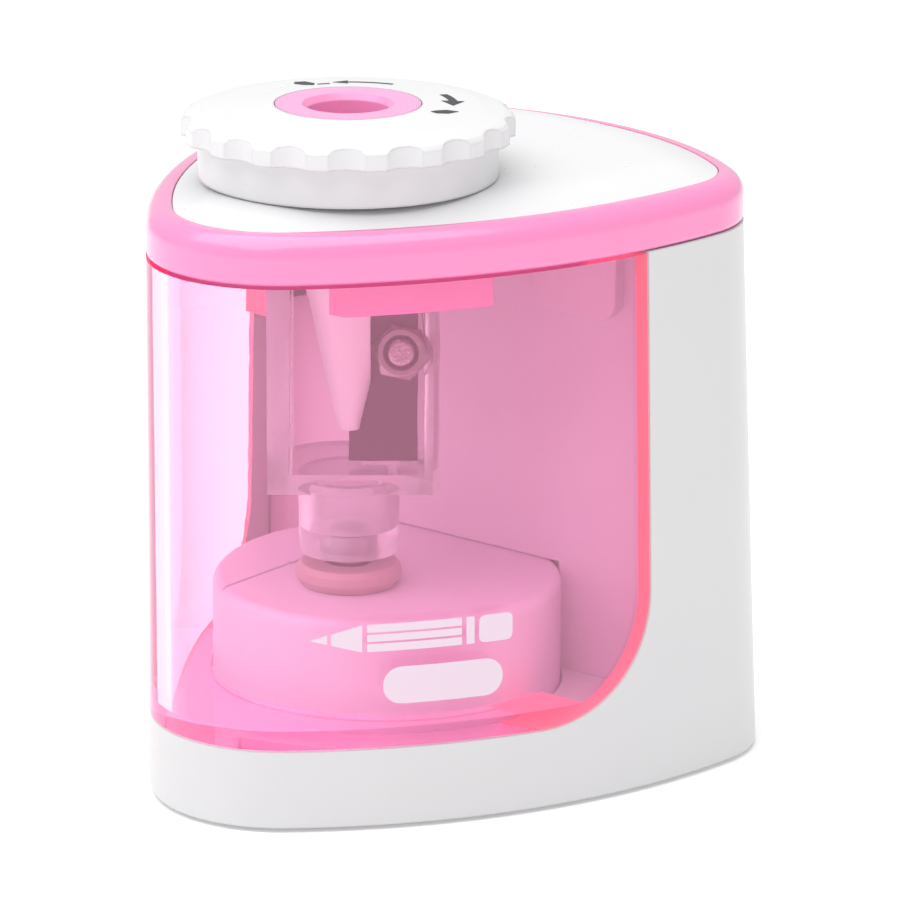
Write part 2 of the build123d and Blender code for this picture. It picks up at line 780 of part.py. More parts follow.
def leaf(x, z, rise, up):
    """Bowed contact strip, rise tall, standing on z or hanging from it."""
    half = 5.0
    outer = ThreePointArc((-half, 0, 0), (0, 0, rise), (half, 0, 0))
    inner = ThreePointArc((half - 0.9, 0, 0), (0, 0, rise - 0.3), (0.9 - half, 0, 0))
    links = [Line((half, 0, 0), (half - 0.9, 0, 0)), Line((0.9 - half, 0, 0), (-half, 0, 0))]
    strip = extrude(make_face([outer, inner, *links]), amount=2.5, dir=(0, 1, 0), both=True)
    if not up:
        strip = Rot(180, 0, 0) * strip
    return Pos(x, cell_y, z) * strip


def make_contact_leaves():
    slack = contact_high - contact_low - 2 * contact_t - cell_l - cell_nub
    low = leaf(-cell_x, contact_low + contact_t, slack, True)
    return Compound([low, leaf(cell_x, contact_high - contact_t, slack, False)])


def make_contact_plates():
    low, high = contact_low, contact_high
    plates = []
    for side in (-1, 1):
        x0, x1 = sorted((side * 11.0, side * 23.0))
        plates.append(block(x0, x1, cell_y - 4, cell_y + 4, low, low + contact_t))
        plates.append(block(x0, x1, cell_y - 4, cell_y + 4, high - contact_t, high))
    return Compound(plates)


def make_battery_door():
    half, gap = door_half_w - drawer_gap, drawer_gap
    zone = block(-half, half, cell_y + 1, far, door_bottom + gap, door_top - gap)
    door = (case_body(0, base_z, seam_z) - case_body(door_wall, base_z - 0.4, seam_z + 1)) & zone
    for side in (-1, 1):
        for z in (16.0, 44.0):
            rib = block(side * cell_x - 3, side * cell_x + 3, cell_y + cell_r + 0.4, far, z, z + 1.5)
            door += rib & case_body(door_wall / 2, base_z, seam_z)
    thumb = Pos(0, back_y + 8.7, door_top - 6) * Rot(0, 90, 0) * Cylinder(9.0, 14)
    return door - thumb


save("housing", make_housing())
save("bottom_cover", make_bottom_cover())
save("base_screws", make_base_screws())
save("rubber_feet", make_feet())
save("gearbox_cover", make_gearbox_cover())
save("gear_plate", make_gear_plate())
save("gear_pins", make_gear_pins())
save("front_idler_gear", make_front_idler())
save("rear_idler_gear", make_rear_idler())
save("output_gear", make_output_gear())
save("motor_can", make_motor_can())
save("motor_end_cap", make_motor_end_cap())
save("motor_shaft", make_motor_shaft())
save("motor_armature", make_motor_armature())
save("motor_pinion", make_motor_pinion())
save("spindle", make_spindle())
save("spindle_seal", make_spindle_seal())
save("thrust_cup", make_thrust_cup())
save("return_spring", make_return_spring())
save("start_switch", make_start_switch())
save("cutter_carrier", faced(make_carrier()))
save("cone_seat", faced(make_cone_seat()))
save("blade", faced(make_blade()))
save("blade_nut", faced(make_blade_nut()))
save("blade_screw", faced(make_blade_screw()))
save("chamber_back_wall", make_back_wall())
save("drawer", make_drawer())
save("interlock_plunger", make_plunger())
save("interlock_switch", make_interlock_switch())
save("rim_frame", make_rim_frame())
save("top_plate", make_top_plate())
save("top_screws", make_top_screws())
save("dial", make_dial())
save("dial_clip", make_dial_clip())
save("pencil_guide", make_guide())
save("battery_cell_left", make_cell(-1, True))
save("battery_cell_right", make_cell(1, False))
save("cell_holder", make_cell_holder())
save("contact_leaves", make_contact_leaves())
save("contact_plates", make_contact_plates())
save("battery_door", make_battery_door())
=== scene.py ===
from math import cos, radians, sin

import bmesh
import bpy
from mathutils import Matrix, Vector
from mathutils.bvhtree import BVHTree


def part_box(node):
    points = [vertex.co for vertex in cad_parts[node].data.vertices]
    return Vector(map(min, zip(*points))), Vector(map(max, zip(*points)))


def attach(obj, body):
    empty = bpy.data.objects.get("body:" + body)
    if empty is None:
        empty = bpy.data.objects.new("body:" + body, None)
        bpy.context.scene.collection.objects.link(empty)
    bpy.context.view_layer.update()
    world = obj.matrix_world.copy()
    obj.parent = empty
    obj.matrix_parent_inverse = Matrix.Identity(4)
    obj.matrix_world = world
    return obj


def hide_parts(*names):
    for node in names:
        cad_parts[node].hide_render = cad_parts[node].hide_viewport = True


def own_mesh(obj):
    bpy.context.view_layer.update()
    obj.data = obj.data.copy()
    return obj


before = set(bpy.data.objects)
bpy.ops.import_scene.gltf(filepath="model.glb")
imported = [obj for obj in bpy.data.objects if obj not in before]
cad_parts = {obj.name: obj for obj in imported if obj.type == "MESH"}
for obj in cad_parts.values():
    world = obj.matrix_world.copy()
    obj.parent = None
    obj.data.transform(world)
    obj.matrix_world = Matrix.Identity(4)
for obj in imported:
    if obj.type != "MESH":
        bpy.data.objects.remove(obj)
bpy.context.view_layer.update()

mm = 0.001


# Bottom cover: a flat grey ABS tray that closes the case from below, moulded with a fine matte
# texture. Four screws hold it, and it carries the gear pins and the three feet.
def finish(name):
    """A new material with its tree and its shader."""
    material = bpy.data.materials.new(name)
    material.use_nodes = True
    return material, material.node_tree, material.node_tree.nodes["Principled BSDF"]


def colour(red, green, blue):
    """A colour chip, 0 to 255 a channel, as the linear colour that shaders take."""
    chip = [value / 255 for value in (red, green, blue)]
    light = [v / 12.92 if v <= 0.04045 else ((v + 0.055) / 1.055) ** 2.4 for v in chip]
    return (*light, 1.0)


def add(tree, kind, feeds=None, **settings):
    """A node of that kind. Each feed is another node's output or a plain value."""
    made = tree.nodes.new("ShaderNode" + kind)
    for key, value in settings.items():
        setattr(made, key, value)
    feed(tree, made, feeds or {})
    return made


def feed(tree, node, feeds):
    for label, value in feeds.items():
        if isinstance(value, bpy.types.NodeSocket):
            tree.links.new(value, node.inputs[label])
        else:
            node.inputs[label].default_value = value


def maths(tree, operation, *values):
    return add(tree, "Math", dict(enumerate(values)), operation=operation).outputs[0]


def tinted(tree, share, first, second, blend="MIX"):
    """Two colours mixed by share."""
    feeds = {0: share, 6: first, 7: second}
    return add(tree, "Mix", feeds, data_type="RGBA", blend_type=blend).outputs[2]


def shader_group(name, takes, gives):
    """An empty node group with its sockets, and its input and output nodes."""
    tree = bpy.data.node_groups.new(name, "ShaderNodeTree")
    for label, value in takes.items():
        kind = "NodeSocketColor" if isinstance(value, tuple) else "NodeSocketFloat"
        tree.interface.new_socket(label, in_out="INPUT", socket_type=kind).default_value = value
    for label in gives:
        kind = {"Colour": "Color", "Normal": "Vector"}.get(label, "Float")
        tree.interface.new_socket(label, in_out="OUTPUT", socket_type="NodeSocket" + kind)
    return tree, tree.nodes.new("NodeGroupInput").outputs, tree.nodes.new("NodeGroupOutput")


def moulded_skin_group():
    """Injection-moulded plastic: spark-eroded grain, slow sink marks and a faint cloudiness."""
    tree, given, out = shader_group(
        "moulded_skin",
        {"Colour": (0.8, 0.8, 0.8, 1.0), "Cloudiness": 0.05, "Roughness": 0.35, "Grain": 0.3, "Sink": 0.5},
        ["Colour", "Roughness", "Height"],
    )
    place = add(tree, "TexCoord").outputs["Object"]
    grain = add(tree, "TexNoise", {"Vector": place, "Scale": 5200.0, "Detail": 2.0}).outputs[0]
    specks = add(tree, "TexNoise", {"Vector": place, "Scale": 900.0, "Detail": 4.0}).outputs[0]
    clouds = add(tree, "TexNoise", {"Vector": place, "Scale": 70.0, "Detail": 3.0}).outputs[0]
    sink = add(tree, "TexNoise", {"Vector": place, "Scale": 45.0, "Detail": 0.0}).outputs[0]
    deeper = tinted(tree, 1.0, given["Colour"], (0.9, 0.9, 0.92, 1.0), "MULTIPLY")
    share = maths(tree, "MULTIPLY", clouds, given["Cloudiness"])
    dull = maths(tree, "MULTIPLY_ADD", specks, 0.12, -0.06)
    rises = maths(tree, "MULTIPLY", grain, given["Grain"])
    feed(tree, out, {
        "Colour": tinted(tree, share, given["Colour"], deeper),
        "Roughness": maths(tree, "ADD", given["Roughness"], dull),
        "Height": maths(tree, "MULTIPLY_ADD", sink, given["Sink"], rises),
    })
    return tree


def rubbed_edge_group():
    """Edges that handling has rounded: a softened normal and a mask of where they are."""
    tree, given, out = shader_group("rubbed_edge", {"Width": 0.0003}, ["Normal", "Rub"])
    bevel = add(tree, "Bevel", {"Radius": given["Width"]}, samples=4).outputs[0]
    facing = add(tree, "NewGeometry").outputs["Normal"]
    agreement = add(tree, "VectorMath", {0: bevel, 1: facing}, operation="DOT_PRODUCT").outputs["Value"]
    turned = maths(tree, "SUBTRACT", 1.0, agreement)
    rub = maths(tree, "MINIMUM", maths(tree, "MULTIPLY", turned, 5.0), 1.0)
    feed(tree, out, {"Normal": bevel, "Rub": rub})
    return tree


moulded_skin = moulded_skin_group()
rubbed_edge = rubbed_edge_group()


def moulded(name, chip, roughness, cloudiness=0.3, grain=0.3, sink=0.6, edge=0.25, bump=0.02):
    """A solid-coloured moulding with rounded edges. Edge and bump are in millimetres."""
    material, tree, shader = finish(name)
    skin = add(tree, "Group", node_tree=moulded_skin)
    feed(tree, skin, {"Colour": chip, "Cloudiness": cloudiness, "Roughness": roughness})
    feed(tree, skin, {"Grain": grain, "Sink": sink})
    edges = add(tree, "Group", {"Width": edge * mm}, node_tree=rubbed_edge).outputs
    shine = maths(tree, "MULTIPLY_ADD", edges["Rub"], -0.1, skin.outputs["Roughness"])
    surface = {"Height": skin.outputs["Height"], "Normal": edges["Normal"], "Distance": bump * mm}
    relief = add(tree, "Bump", surface).outputs[0]
    feed(tree, shader, {"Base Color": skin.outputs["Colour"], "Roughness": shine, "Normal": relief})
    feed(tree, shader, {"IOR": 1.5})
    return material, tree, shader


def put_on(material, *names):
    """Gives CAD nodes their finish."""
    for name in names:
        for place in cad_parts[name].material_slots:
            place.material = material


cover_grey = colour(196, 196, 199)
put_on(moulded("matte_cover_plastic", cover_grey, 0.55, grain=1.0, bump=0.03)[0], "bottom_cover")


# Feet: three soft grey rubber discs in sinks of the cover, held by their own glue, with the faint
# bloom and lint that soft rubber picks up.
foot_grey = colour(150, 150, 153)
foot_rubber, tree, shader = moulded("foot_rubber", foot_grey, 0.85, cloudiness=0.9, grain=1.4, bump=0.05)
feed(tree, shader, {"Sheen Weight": 0.25, "Sheen Roughness": 0.6})
put_on(foot_rubber, "rubber_feet")


# Screws: zinc-plated steel. Four with cross heads are sunk in the bottom cover, and three with
# slotted heads go up through the ceiling and hold the top plate.
def drawn_metal_group():
    """Rolled, drawn or plated metal: streaks along one way, small pits and cloudy tarnish."""
    tree, given, out = shader_group(
        "drawn_metal",
        {"Colour": (0.6, 0.6, 0.6, 1.0), "Roughness": 0.3, "Streaks": 0.5, "Across": 3000.0, "Along": 120.0},
        ["Colour", "Roughness", "Height"],
    )
    place = add(tree, "TexCoord").outputs["Object"]
    grid = add(tree, "CombineXYZ", {0: given["Across"], 1: given["Across"], 2: given["Along"]}).outputs[0]
    stretched = add(tree, "VectorMath", {0: place, 1: grid}, operation="MULTIPLY").outputs[0]
    streaks = add(tree, "TexNoise", {"Vector": stretched, "Scale": 1.0, "Detail": 3.0}).outputs[0]
    tarnish = add(tree, "TexNoise", {"Vector": place, "Scale": 300.0, "Detail": 4.0}).outputs[0]
    pits = add(tree, "TexVoronoi", {"Vector": place, "Scale": 2500.0}).outputs["Distance"]
    darker = tinted(tree, 1.0, given["Colour"], (0.72, 0.7, 0.7, 1.0), "MULTIPLY")
    swing = maths(tree, "MULTIPLY_ADD", streaks, 0.3, -0.15)
    shift = maths(tree, "MULTIPLY", swing, given["Streaks"])
    feed(tree, out, {
        "Colour": tinted(tree, maths(tree, "MULTIPLY", tarnish, 0.6), given["Colour"], darker),
        "Roughness": maths(tree, "ADD", given["Roughness"], shift),
        "Height": maths(tree, "MULTIPLY_ADD", streaks, given["Streaks"], maths(tree, "MULTIPLY", pits, 0.15)),
    })
    return tree


drawn_metal = drawn_metal_group()


def metal(name, chip, roughness, streaks=0.5, across=3000.0, along=120.0, edge=0.1, bump=0.01):
    """Bare or plated metal with softened edges. Edge and bump are in millimetres."""
    material, tree, shader = finish(name)
    skin = add(tree, "Group", node_tree=drawn_metal)
    feed(tree, skin, {"Colour": chip, "Roughness": roughness, "Streaks": streaks})
    feed(tree, skin, {"Across": across, "Along": along})
    edges = add(tree, "Group", {"Width": edge * mm}, node_tree=rubbed_edge).outputs
    shine = maths(tree, "MULTIPLY_ADD", edges["Rub"], -0.08, skin.outputs["Roughness"])
    surface = {"Height": skin.outputs["Height"], "Normal": edges["Normal"], "Distance": bump * mm}
    relief = add(tree, "Bump", surface).outputs[0]
    feed(tree, shader, {"Base Color": skin.outputs["Colour"], "Roughness": shine, "Normal": relief})
    feed(tree, shader, {"Metallic": 1.0})
    return material


put_on(metal("zinc_screw", colour(196, 198, 205), 0.3, along=3000.0), "base_screws", "top_screws")


# Housing: the white ABS shell with the drawer's window, flared to the foot. It is glossy, with
# slight sink marks over its bosses and edges softened by handling.
shell_white = colour(219, 219, 220)
white_shell = moulded("white_shell", shell_white, 0.32, edge=0.3)[0]
put_on(white_shell, "housing")


# Gear train: natural acetal wheels on plain steel pins, greased, under a grey shelf that steadies
# the rear pin and carries the motor.
gear_cream = colour(236, 232, 218)
gear_acetal, tree, shader = moulded("gear_acetal", gear_cream, 0.42, cloudiness=0.8, edge=0.06)
feed(tree, shader, {"Subsurface Weight": 0.15, "Subsurface Scale": 0.8 * mm, "Coat Weight": 0.2})
put_on(gear_acetal, "output_gear", "front_idler_gear", "rear_idler_gear")
put_on(metal("pin_steel", colour(190, 192, 196), 0.22), "gear_pins", "spindle", "motor_shaft")
put_on(moulded("matte_shelf_plastic", cover_grey, 0.5, grain=0.8)[0], "gear_plate")


# Motor: a small can motor with flats. Its pressed steel can is zinc-plated, its brass pinion is
# pressed on the shaft, and its laminated armature is inside the can, out of sight.
put_on(metal("can_zinc", colour(178, 180, 186), 0.34, across=900.0, along=900.0), "motor_can")
put_on(metal("pinion_brass", colour(214, 182, 110), 0.28, along=3000.0, edge=0.05), "motor_pinion")
laminations = metal("armature_iron", colour(120, 118, 120), 0.5, streaks=1.0, across=400.0, along=9000.0)
put_on(laminations, "motor_armature")
put_on(moulded("end_cap_plastic", colour(228, 228, 224), 0.45)[0], "motor_end_cap")


# Cells: two round cells in printed jackets, dark with one copper end band. They sit in a moulded
# holder, between nickel-plated plates and bowed leaves.
def jacket(name, band_at, band_side):
    """A printed metal jacket: dark, with a copper band on the side of band_at that band_side says."""
    material, tree, shader = finish(name)
    place = add(tree, "TexCoord").outputs["Object"]
    height = add(tree, "SeparateXYZ", {0: place}).outputs["Z"]
    past = maths(tree, "MULTIPLY", maths(tree, "SUBTRACT", height, band_at), band_side)
    band = maths(tree, "GREATER_THAN", past, 0.0)
    wrinkles = add(tree, "TexNoise", {"Vector": place, "Scale": 260.0, "Detail": 3.0}).outputs[0]
    printed_on = tinted(tree, band, colour(44, 46, 54), colour(198, 128, 78))
    fold = add(tree, "Bump", {"Height": wrinkles, "Distance": 0.04 * mm, "Strength": 0.6}).outputs[0]
    rough = maths(tree, "MULTIPLY_ADD", wrinkles, 0.15, 0.22)
    feed(tree, shader, {"Base Color": printed_on, "Roughness": rough, "Normal": fold, "Metallic": 0.5})
    feed(tree, shader, {"Coat Weight": 0.6, "Coat Roughness": 0.12})
    return material


band_share = 0.7
for cell, side in (("battery_cell_left", 1.0), ("battery_cell_right", -1.0)):
    low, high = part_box(cell)
    share = band_share if side > 0 else 1 - band_share
    put_on(jacket(cell + "_jacket", low.z + (high.z - low.z) * share, side), cell)
put_on(metal("contact_nickel", colour(205, 205, 204), 0.2, along=3000.0), "contact_leaves", "contact_plates")
put_on(moulded("matte_holder_plastic", cover_grey, 0.5, grain=0.8)[0], "cell_holder")


# Battery door: a white ABS panel of the case's own curve that pulls off backwards, with a thumb
# notch at its top and short ribs inside that steady the cells.
put_on(white_shell, "battery_door")


# Gearbox cover: the drum-shaped hump inside the drawer, white ABS, polished by shavings, with a
# short witness line of its mould on top.
hump_white = colour(232, 222, 234)
put_on(moulded("hump_plastic", hump_white, 0.4, cloudiness=0.6)[0], "gearbox_cover")


# Spindle seal: a soft translucent collar round the spindle that keeps shavings out of the gears. Its
# stem sits in a hole in the top of the gearbox cover.
seal_amber = colour(236, 206, 206)
seal_rubber, tree, shader = moulded("seal_rubber", seal_amber, 0.38, cloudiness=0.8, edge=0.3)
feed(tree, shader, {"Transmission Weight": 0.35, "Subsurface Weight": 0.3, "Subsurface Scale": 1.5 * mm})
put_on(seal_rubber, "spindle_seal")


# Press seat and switches: a grey acetal cup on a steel coil spring. Its arm shuts the start switch
# as the pencil is pushed down. A black plunger lets the second switch know that the drawer is home.
put_on(moulded("cup_plastic", colour(176, 176, 180), 0.4)[0], "thrust_cup")
spring_steel = metal("spring_steel", colour(168, 170, 176), 0.26, along=3000.0)
put_on(spring_steel, "return_spring", "dial_clip")
press_spring = bpy.data.objects.new("press_spring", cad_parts["return_spring"].data.copy())
press_spring.data.materials.clear()
press_spring.data.materials.append(spring_steel)
bpy.context.scene.collection.objects.link(press_spring)
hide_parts("return_spring")
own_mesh(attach(press_spring, "base"))
put_on(moulded("switch_plastic", colour(150, 150, 154), 0.5)[0], "start_switch", "interlock_switch")
put_on(moulded("plunger_plastic", colour(40, 40, 43), 0.42)[0], "interlock_plunger")


# Cutter carrier: a clear moulding that spins with the pencil's point in it. Its polished walls
# show flow lines and fine scratches, and the edges catch the light.
def clear_flow_group():
    """Clear moulding: flow lines drawn up its height, smudges and hairline scratches."""
    tree, given, out = shader_group(
        "clear_flow",
        {"Colour": (0.9, 0.9, 0.9, 1.0), "Roughness": 0.03, "Smudge": 0.5},
        ["Colour", "Roughness", "Height"],
    )
    place = add(tree, "TexCoord").outputs["Object"]
    drawn_up = add(tree, "VectorMath", {0: place, 1: (260.0, 260.0, 25.0)}, operation="MULTIPLY").outputs[0]
    flow = add(tree, "TexNoise", {"Vector": drawn_up, "Scale": 1.0, "Detail": 2.0}).outputs[0]
    smudge = add(tree, "TexNoise", {"Vector": place, "Scale": 110.0, "Detail": 5.0}).outputs[0]
    hairs = add(tree, "TexNoise", {"Vector": drawn_up, "Scale": 14.0, "Detail": 2.0}).outputs[0]
    above = maths(tree, "MAXIMUM", maths(tree, "SUBTRACT", smudge, 0.5), 0.0)
    haze = maths(tree, "MULTIPLY", above, given["Smudge"])
    deeper = tinted(tree, 1.0, given["Colour"], (0.97, 0.95, 0.97, 1.0), "MULTIPLY")
    feed(tree, out, {
        "Colour": tinted(tree, flow, given["Colour"], deeper),
        "Roughness": maths(tree, "ADD", given["Roughness"], haze),
        "Height": maths(tree, "MULTIPLY_ADD", hairs, 0.1, flow),
    })
    return tree


clear_flow = clear_flow_group()


def clear_moulding(name, chip, lamp_chip, roughness, smudge, bump):
    """Clear plastic that lets lamps light what is behind it. Bump is in millimetres."""
    material, tree, shader = finish(name)
    skin = add(tree, "Group", node_tree=clear_flow)
    feed(tree, skin, {"Colour": chip, "Roughness": roughness, "Smudge": smudge})
    relief = add(tree, "Bump", {"Height": skin.outputs["Height"], "Distance": bump * mm}).outputs[0]
    feed(tree, shader, {"Base Color": skin.outputs["Colour"], "Roughness": skin.outputs["Roughness"]})
    feed(tree, shader, {"Normal": relief, "IOR": 1.49, "Transmission Weight": 1.0})
    lamps = add(tree, "BsdfTransparent", {"Color": lamp_chip}).outputs[0]
    seen_by_lamps = add(tree, "LightPath").outputs["Is Shadow Ray"]
    either = add(tree, "MixShader", {0: seen_by_lamps, 2: lamps})
    feed(tree, tree.nodes["Material Output"], {"Surface": either.outputs[0]})
    return material, tree, shader, either


carrier_clear = colour(248, 244, 248)
carrier, tree, shader, either = clear_moulding("carrier_clear", carrier_clear, carrier_clear, 0.16, 0.4, 0.02)
feed(tree, shader, {"Transmission Weight": 0.78})
feed(tree, either, {1: shader.outputs[0]})
put_on(carrier, "cutter_carrier")


# Cone seat: the white acetal cone that the pencil's point sits in, cut away beside the blade and
# held in the carrier by its collar.
cone_white = colour(244, 242, 244)
cone_acetal, tree, shader = moulded("cone_acetal", cone_white, 0.35, edge=0.1)
feed(tree, shader, {"Subsurface Weight": 0.3, "Subsurface Scale": 1.2 * mm})
put_on(cone_acetal, "cone_seat")


# Blade, screw and nut: a ground tool-steel blade, blued by its hardening, and a nickel-plated
# screw whose nut stands out towards the front.
blade_blue = colour(92, 76, 86)
ground_steel = {"streaks": 0.4, "across": 700.0, "along": 90.0, "edge": 0.05, "bump": 0.004}
put_on(metal("blade_steel", blade_blue, 0.34, **ground_steel), "blade")
put_on(metal("nut_nickel", colour(156, 138, 145), 0.16, along=3000.0, edge=0.15), "blade_nut")
screw_chip = colour(176, 156, 164)
screw_nickel = metal("screw_nickel", screw_chip, 0.2, streaks=1.6, along=3000.0, edge=0.3, bump=0.05)
put_on(screw_nickel, "blade_screw")


# Chamber back wall: the white ABS panel behind the cutter that closes off the motor and cells. Two
# pads at its top are for the rim to hook on.
put_on(moulded("back_wall_plastic", colour(236, 224, 234), 0.4, cloudiness=0.5)[0], "chamber_back_wall")


# Drawer: a clear pink polystyrene shell that slides out forwards. Its polished skin has a thin haze,
# and a small painted glow (emission) lies over all of it. Its rear cut edges carry a band of painted
# deeper pink with a stronger painted glow, which stands for light that runs inside its walls.
drawer_pink = colour(255, 244, 252)
drawer_sheen_and_painted_glow = colour(255, 120, 176)
drawer_painted_edge_glow = colour(246, 120, 138)
drawer_clear, tree, shader, either = clear_moulding(
    "drawer_clear", drawer_pink, colour(255, 243, 252), 0.02, 0.08, 0.006
)
# Painted glow: a small pink emission over the whole drawer stands in for light, though the drawer is no lamp.
# The same pink also tints the sheen.
feed(tree, shader, {"Emission Color": drawer_sheen_and_painted_glow, "Emission Strength": 0.09})
feed(tree, shader, {"Sheen Weight": 0.35, "Sheen Roughness": 0.3, "Sheen Tint": drawer_sheen_and_painted_glow})
# Painted glow band: a thin arc around the rear lower corner of each wall, out in the walls. There, light
# running inside the walls is painted on as colour and emission.
corner_y, corner_z, corner_r = -9.904 * mm, 22.5 * mm, 13.3 * mm
painted_glow_half_width = 0.06 * mm
wall_lean, wall_from = -0.45, 22.0 * mm
place = add(tree, "SeparateXYZ", {0: add(tree, "TexCoord").outputs["Object"]}).outputs
over = maths(tree, "MAXIMUM", maths(tree, "SUBTRACT", place["Y"], corner_y), 0.0)
under = maths(tree, "MAXIMUM", maths(tree, "SUBTRACT", corner_z, place["Z"]), 0.0)
squares = maths(tree, "ADD", maths(tree, "POWER", over, 2.0), maths(tree, "POWER", under, 2.0))
reach = maths(tree, "SQRT", squares)
shy = maths(tree, "ABSOLUTE", maths(tree, "SUBTRACT", reach, corner_r))
behind = maths(tree, "GREATER_THAN", place["Y"], corner_y)
outwards = maths(tree, "MULTIPLY_ADD", place["Y"], wall_lean, maths(tree, "ABSOLUTE", place["X"]))
in_wall = maths(tree, "MULTIPLY", behind, maths(tree, "GREATER_THAN", outwards, wall_from))
painted_glow_band = maths(tree, "MULTIPLY", maths(tree, "LESS_THAN", shy, painted_glow_half_width), in_wall)
# The band's shader is opaque deeper pink with emission 0.35. It is a painted glow that stands for light
# running inside the walls, not for the plastic's own colour.
edge = add(tree, "BsdfPrincipled", {"Base Color": drawer_painted_edge_glow, "Roughness": 0.25, "IOR": 1.49})
feed(tree, edge, {"Emission Color": drawer_painted_edge_glow, "Emission Strength": 0.35})
wall = add(tree, "MixShader", {0: painted_glow_band, 1: shader.outputs[0], 2: edge.outputs[0]}).outputs[0]
feed(tree, either, {1: wall})
dye = add(tree, "VolumeAbsorption", {"Color": (0.99, 0.36, 0.68, 1.0), "Density": 75.0}).outputs[0]
feed(tree, tree.nodes["Material Output"], {"Volume": dye})
put_on(drawer_clear, "drawer")


# Drawer print: a plain white pencil pictogram and a blank label bar, pad-printed in thin ink on the
# drawer's right wall.
ink_film = 0.03 * mm
lift = 0.03 * mm
ray_start = 0.01


def surface_of(name):
    """The CAD node's surface, for laying print on it."""
    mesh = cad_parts[name].data
    return BVHTree.FromPolygons([v.co for v in mesh.vertices], [p.vertices for p in mesh.polygons])


def printed(name, outlines, place, step, ink, body):
    """Thin print: flat outlines in millimetres, laid on a surface by place(across, up)."""
    form = bmesh.new()
    for outline in outlines:
        form.faces.new([form.verts.new((u, v, 0)) for u, v in outline])
    bmesh.ops.triangulate(form, faces=form.faces[:])
    for axis in (0, 1):
        ends = [v.co[axis] for v in form.verts]
        cut = min(ends) + step
        while cut < max(ends):
            at, facing = [0, 0, 0], [0, 0, 0]
            at[axis], facing[axis] = cut, 1
            whole = form.verts[:] + form.edges[:] + form.faces[:]
            bmesh.ops.bisect_plane(form, geom=whole, plane_co=at, plane_no=facing)
            cut += step
    for vert in form.verts:
        vert.co = place(vert.co.x, vert.co.y)
    mesh = bpy.data.meshes.new(name)
    form.to_mesh(mesh)
    form.free()
    piece = bpy.data.objects.new(name, mesh)
    bpy.context.scene.collection.objects.link(piece)
    mesh.materials.append(ink)
    film = piece.modifiers.new("film", "SOLIDIFY")
    film.thickness = ink_film
    film.offset = 0.0
    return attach(piece, body)


def bar(x0, x1, y0, y1, radius):
    """A rounded bar's outline."""
    corners = ((x1, y1, 0), (x0, y1, 90), (x0, y0, 180), (x1, y0, 270))
    points = []
    for x, y, start in corners:
        cx = x - radius if x == x1 else x + radius
        cy = y - radius if y == y1 else y + radius
        for turn in range(start, start + 91, 15):
            points.append((cx + radius * cos(radians(turn)), cy + radius * sin(radians(turn))))
    return points


wall_surface = surface_of("drawer")
print_at = Vector((18.2, -22.69, 21.3)) * mm
print_out = Vector((0.811, -0.585, 0.0))
print_along = Vector((0.585, 0.811, 0.0))


def on_wall(across, up):
    start = print_at + print_along * across * mm + Vector((0, 0, up * mm)) + print_out * ray_start
    spot, facing, _, _ = wall_surface.ray_cast(start, -print_out)
    return spot + facing * lift


pencil_shape = [
    bar(7.6, 11.4, -1.5, 1.5, 0.7),
    bar(6.2, 7.1, -1.5, 1.5, 0.05),
    bar(-4.6, 5.7, 0.62, 1.5, 0.05),
    bar(-4.6, 5.7, -0.4, 0.4, 0.05),
    bar(-4.6, 5.7, -1.5, -0.62, 0.05),
    [(-5.1, 1.5), (-8.4, 0.6), (-8.4, -0.6), (-5.1, -1.5)],
    [(-8.8, 0.5), (-10.6, 0.0), (-8.8, -0.5)],
]
white_ink = moulded("white_ink", colour(236, 216, 230), 0.5, cloudiness=0.4, edge=0.02)[0]
printed("drawer_print", pencil_shape, on_wall, 1.0, white_ink, "drawer")
label = bar(-2.9, 10.3, -7.4, -3.3, 2.0)
printed("drawer_label_bar", [label], on_wall, 1.0, white_ink, "drawer")


# Rim frame: the pink ABS ring that joins the case to the top, glossy and slightly deep, with the
# tongues that reach down inside the drawer.
rim_pink = colour(252, 143, 197)
pink_rim, tree, shader = moulded("pink_rim", rim_pink, 0.22, cloudiness=0.15, edge=0.2)
feed(tree, shader, {"Subsurface Weight": 0.12, "Subsurface Scale": 1.5 * mm})
feed(tree, shader, {"Coat Weight": 0.7, "Coat Roughness": 0.16})
put_on(pink_rim, "rim_frame")


# Top plate: the crowned white ABS panel inside the ring, satin on top. Three screws hold it from
# below.
top_white = colour(231, 231, 232)
put_on(moulded("white_top", top_white, 0.3, edge=0.2)[0], "top_plate")


# Dial: a white scalloped knob that turns on the top plate, with grey pad-printed marks: an arrow
# to a sharp point on one side and an arrow to a blunt point on the other.
put_on(moulded("white_dial", top_white, 0.3, edge=0.45)[0], "dial")
dial_surface = surface_of("dial")
dial_low, dial_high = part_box("dial")
axis_x = (dial_low.x + dial_high.x) / 2
axis_y = -11.244 * mm
above_dial = dial_high.z + ray_start


def on_dial(across, up):
    start = Vector((axis_x + across * mm, axis_y + up * mm, above_dial))
    spot, facing, _, _ = dial_surface.ray_cast(start, (0, 0, -1))
    return spot + facing * lift


def around(points):
    """Points given as angle in degrees and radius, as across and up."""
    return [(r * cos(radians(a)), r * sin(radians(a))) for a, r in points]


def swept(start, end, radius, half, steps=8):
    """A band along an arc of the dial, as a closed outline."""
    angles = [start + (end - start) * step / steps for step in range(steps + 1)]
    outer = [(a, radius + half) for a in angles]
    inner = [(a, radius - half) for a in reversed(angles)]
    return around(outer + inner)


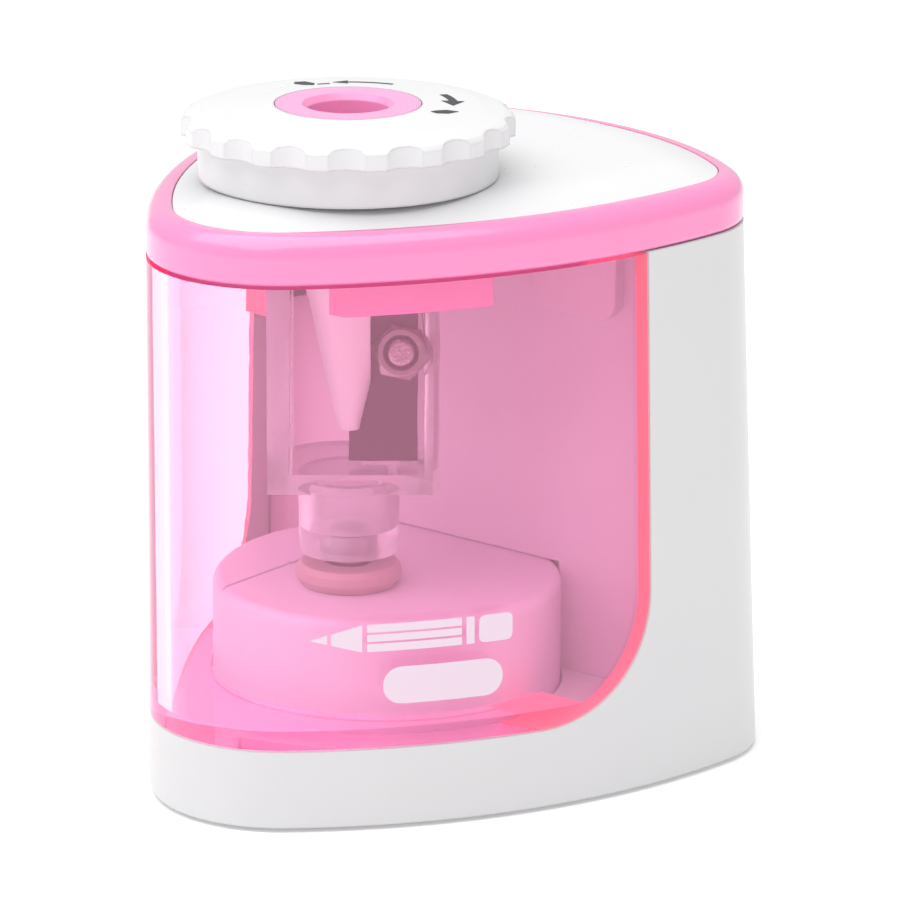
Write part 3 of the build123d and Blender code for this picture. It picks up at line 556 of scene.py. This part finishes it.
dial_marks = [
    swept(104.5, 131, 11.0, 0.25),
    around([(130.5, 12.0), (130.5, 10.0), (139, 11.0)]),
    around([(149.5, 10.9), (152, 12.6), (157, 12.9), (159.5, 11.9), (157, 10.6), (152, 9.9)]),
    swept(141.5, 149, 10.2, 0.2, 3),
    swept(66.5, 50, 11.3, 0.45),
    around([(50, 12.5), (50, 10.0), (38.5, 11.1)]),
    around([(26.3, 12.0), (26.6, 10.7), (21.5, 9.7), (17.5, 9.4), (16.0, 10.2), (19.5, 11.3)]),
]
grey_ink = moulded("grey_ink", colour(62, 60, 64), 0.5, cloudiness=0.3, edge=0.02)[0]
printed("dial_marks", dial_marks, on_dial, 1.0, grey_ink, "dial")


# Pencil guide: the pink ABS insert round the hole, with a short lead-in for the pencil. Two lugs in
# the dial's slots lower it as the dial turns.
guide_pink, tree, shader = moulded("guide_pink", colour(254, 166, 213), 0.24, cloudiness=0.15)
feed(tree, shader, {"Subsurface Weight": 0.12, "Subsurface Scale": 1.5 * mm})
put_on(guide_pink, "pencil_guide")


# Studio: a pale paper floor in a white room, with a broad soft light overhead and a weak one from
# the front left. The camera looks at the drawer from the front right.
floor_half = 4.0
floor_sheet = bpy.data.meshes.new("floor")
floor_corners = [(x * floor_half, y * floor_half, 0) for x, y in ((-1, -1), (1, -1), (1, 1), (-1, 1))]
floor_sheet.from_pydata(floor_corners, [], [(0, 1, 2, 3)])
floor = bpy.data.objects.new("floor", floor_sheet)
bpy.context.scene.collection.objects.link(floor)
paper, tree, shader = finish("paper_sweep")
fibre = add(tree, "TexNoise", {"Vector": add(tree, "TexCoord").outputs["Object"], "Scale": 400.0}).outputs[0]
paper_white = tinted(tree, fibre, (0.93, 0.93, 0.93, 1.0), (0.95, 0.95, 0.95, 1.0))
feed(tree, shader, {"Base Color": paper_white, "Roughness": 0.9, "Specular IOR Level": 0.0})
feed(tree, shader, {"Emission Color": (1.0, 1.0, 1.0, 1.0), "Emission Strength": 0.16})
floor.data.materials.append(paper)

room = bpy.data.worlds.new("white_room")
room.use_nodes = True
walls = room.node_tree.nodes["Background"]
walls.inputs["Color"].default_value = (1.0, 1.0, 1.0, 1.0)
walls.inputs["Strength"].default_value = 0.63
bpy.context.scene.world = room

target = Vector((0.0, -11.24, 35.0)) * mm
view_turn, view_rise, view_far = radians(40.34), radians(16.48), 0.599
toward = Vector((sin(view_turn) * cos(view_rise), -cos(view_turn) * cos(view_rise), sin(view_rise)))
sideways = Vector((cos(view_turn), sin(view_turn), 0.0))


def soft_light(name, at, size, power):
    lamp = bpy.data.lights.new(name, "AREA")
    lamp.size, lamp.energy = size, power
    lamp.shape = "SQUARE"
    made = bpy.data.objects.new(name, lamp)
    made.location = at
    made.rotation_mode = "QUATERNION"
    made.rotation_quaternion = (at - target).to_track_quat("Z", "Y")
    bpy.context.scene.collection.objects.link(made)


soft_light("overhead", target + Vector((0, 0, 0.75)) - sideways * 0.15 + toward * 0.1, 1.1, 7.2)
soft_light("front_left", target + Vector((-0.45, -0.6, 0.25)), 0.6, 0.3)

lens = bpy.data.cameras.new("camera")
lens.lens, lens.sensor_width = 222.8, 36.0
lens.shift_x, lens.shift_y = 0.1132, 0.0051
lens.clip_start, lens.clip_end = 0.05, 20.0
camera = bpy.data.objects.new("camera", lens)
camera.location = target + toward * view_far
camera.rotation_mode = "QUATERNION"
camera.rotation_quaternion = toward.to_track_quat("Z", "Y")
bpy.context.scene.collection.objects.link(camera)
bpy.context.scene.camera = camera
bpy.context.scene.view_settings.view_transform = "Standard"
